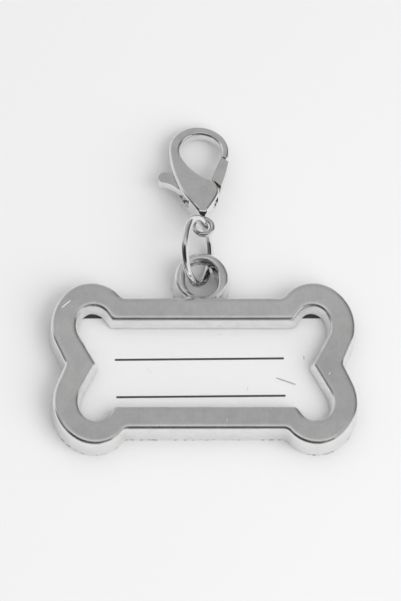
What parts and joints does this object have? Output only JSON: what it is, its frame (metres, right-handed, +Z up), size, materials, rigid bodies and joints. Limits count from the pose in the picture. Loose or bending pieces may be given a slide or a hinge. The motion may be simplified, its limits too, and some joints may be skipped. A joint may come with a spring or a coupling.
{
  "type": "bone-shaped pet tag with lobster clasp",
  "caption": "Bone-shaped chromed pet tag with a windowed, ruled name card, hung from a collar by a jump ring and a spring-gated lobster clasp",
  "frame": {"origin": "middle of the tag's back, on the outer face of the rear plate", "axes": "+X along the bone, +Y from the bone towards the clasp, +Z up out of the tag's front"},
  "size_m": [0.05, 0.0582, 0.011],
  "materials": {
    "chrome_casting": "polished chrome plate on a zinc casting",
    "chrome_wire": "polished plated wire",
    "clear_film": "clear glossy sheet with hairline scratches",
    "white_card": "smooth white card with two black ruled lines",
    "black_plate": "thin plain black sheet",
    "spring_steel": "bright spring strip"
  },
  "bodies": {
    "tag": {"bone_frame": "chrome_casting", "window_film": "clear_film", "name_card": "white_card", "rear_plate": "black_plate"},
    "ring": {"jump_ring": "chrome_wire"},
    "clasp": {"clasp_body": "chrome_casting", "lever_rivet": "chrome_wire", "lever_spring": "spring_steel"},
    "lever": {"clasp_lever": "chrome_casting"}
  },
  "joints": [
    {"name": "ring_swing", "type": "hinge", "parent": "tag", "child": "ring", "pos_m": [0.00064, 0.01927, 0.00265], "axis": [0.896, -0.1524, 0.4171], "range_deg": [-60, 15]},
    {"name": "clasp_swing", "type": "hinge", "parent": "ring", "child": "clasp", "pos_m": [0.00064, 0.02436, 0.00445], "axis": [-0.3637, 0.2869, 0.8862], "range_deg": [-45, 45]},
    {"name": "lever_pivot", "type": "hinge", "parent": "clasp", "child": "lever", "pos_m": [0.00072, 0.03041, 0.00339], "axis": [0, 0.1685, 0.9857], "range_deg": [0, 24], "stiffness_Nm_per_rad": 0.02, "springref_deg": -14.32, "deforming": ["lever_spring"]}
  ]
}
